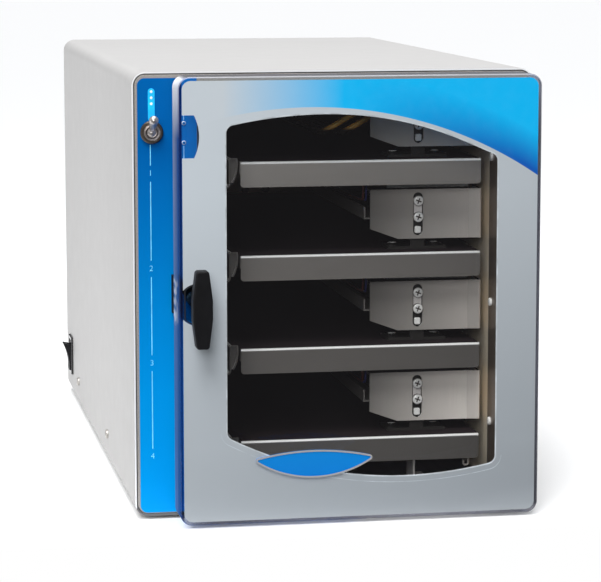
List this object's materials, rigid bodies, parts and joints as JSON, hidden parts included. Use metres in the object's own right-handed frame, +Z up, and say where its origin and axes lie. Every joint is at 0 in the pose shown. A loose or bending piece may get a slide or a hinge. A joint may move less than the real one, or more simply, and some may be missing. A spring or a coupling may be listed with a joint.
{
  "type": "freeze dryer",
  "caption": "Benchtop tray freeze dryer: a painted cabinet round a stainless chamber with heated shelves, closed by a thick clear acrylic door with a wing-knob latch.",
  "frame": {"origin": "centre of the cabinet's footprint on the surface that it stands on", "axes": "+Z up, +X to the right seen from the front, and the door faces -Y"},
  "size_m": [0.3139, 0.6554, 0.3365],
  "materials": {
    "wrapper_paint": "satin powder coat",
    "frame_plate": "satin grey",
    "label_film": "satin printed film",
    "stainless": "brushed",
    "zinc_sheet": "plated sheet",
    "bright_steel": "bright",
    "plated_screw": "plated",
    "acrylic": "polished, clear",
    "print_film": "satin printed film",
    "badge_plate": "gloss",
    "black_moulding": "fine texture",
    "switch_black": "gloss",
    "seal_rubber": "matt",
    "foot_rubber": "matt",
    "silicone_mat": "matt",
    "hose_amber": "satin",
    "board_green": "lacquered",
    "lamp_lens": "clear lens"
  },
  "bodies": {
    "cabinet": {"base_pan": "zinc_sheet", "case_screws": "plated_screw", "chamber": "stainless", "control_board": "board_green", "door_gasket": "seal_rubber", "feet": "foot_rubber", "floor_stay": "stainless", "foot_screws": "plated_screw", "front_frame": "frame_plate", "front_label": "label_film", "heater_channels": "stainless", "heater_pads": "silicone_mat", "hinge_leaf_lower": "bright_steel", "hinge_leaf_upper": "bright_steel", "hinge_pin_lower": "bright_steel", "hinge_pin_upper": "bright_steel", "indicator_lamps": "lamp_lens", "latch_keeper": "black_moulding", "lead_hook": "bright_steel", "left_rails": "stainless", "liner_screws": "plated_screw", "link_keys": "stainless", "link_screws": "plated_screw", "power_inlet": "black_moulding", "power_supply": "zinc_sheet", "rear_panel": "wrapper_paint", "right_rails": "stainless", "roof_bracket": "stainless", "shelf_1": "stainless", "shelf_2": "stainless", "shelf_3": "stainless", "shelf_4": "stainless", "shelf_bracket_1": "stainless", "shelf_bracket_2": "stainless", "shelf_bracket_3": "stainless", "shelf_studs": "bright_steel", "slot_blocks": "bright_steel", "supply_hoses": "hose_amber", "switch_housing": "switch_black", "toggle_nut": "bright_steel", "toggle_valve": "bright_steel", "upright_1": "stainless", "upright_2": "stainless", "upright_3": "stainless", "upright_4": "stainless", "vacuum_port": "bright_steel", "wall_bolts": "plated_screw", "wall_liner": "stainless", "wrapper": "wrapper_paint"},
    "door": {"door_slab": "acrylic", "door_print": "print_film", "badge": "badge_plate", "door_leaf_upper": "bright_steel", "door_leaf_lower": "bright_steel", "latch_bushing": "black_moulding"},
    "latch": {"latch_knob": "black_moulding", "latch_shaft": "bright_steel", "latch_cam": "bright_steel"},
    "toggle": {"toggle_lever": "bright_steel"},
    "rocker": {"power_rocker": "switch_black"}
  },
  "joints": [
    {"name": "door_hinge", "type": "hinge", "parent": "cabinet", "child": "door", "pos_m": [0.1523, -0.2872, 0.17], "axis": [0, 0, 1], "range_deg": [0, 110]},
    {"name": "latch_turn", "type": "hinge", "parent": "door", "child": "latch", "pos_m": [-0.1088, -0.29, 0.168], "axis": [0, -1, 0], "range_deg": [0, 90]},
    {"name": "toggle_tilt", "type": "hinge", "parent": "cabinet", "child": "toggle", "pos_m": [-0.138, -0.286, 0.2921], "axis": [1, 0, 0], "range_deg": [0, 72]},
    {"name": "power_rocker", "type": "hinge", "parent": "cabinet", "child": "rocker", "pos_m": [-0.1505, 0.236, 0.0425], "axis": [0, 1, 0], "range_deg": [0, 24]}
  ]
}
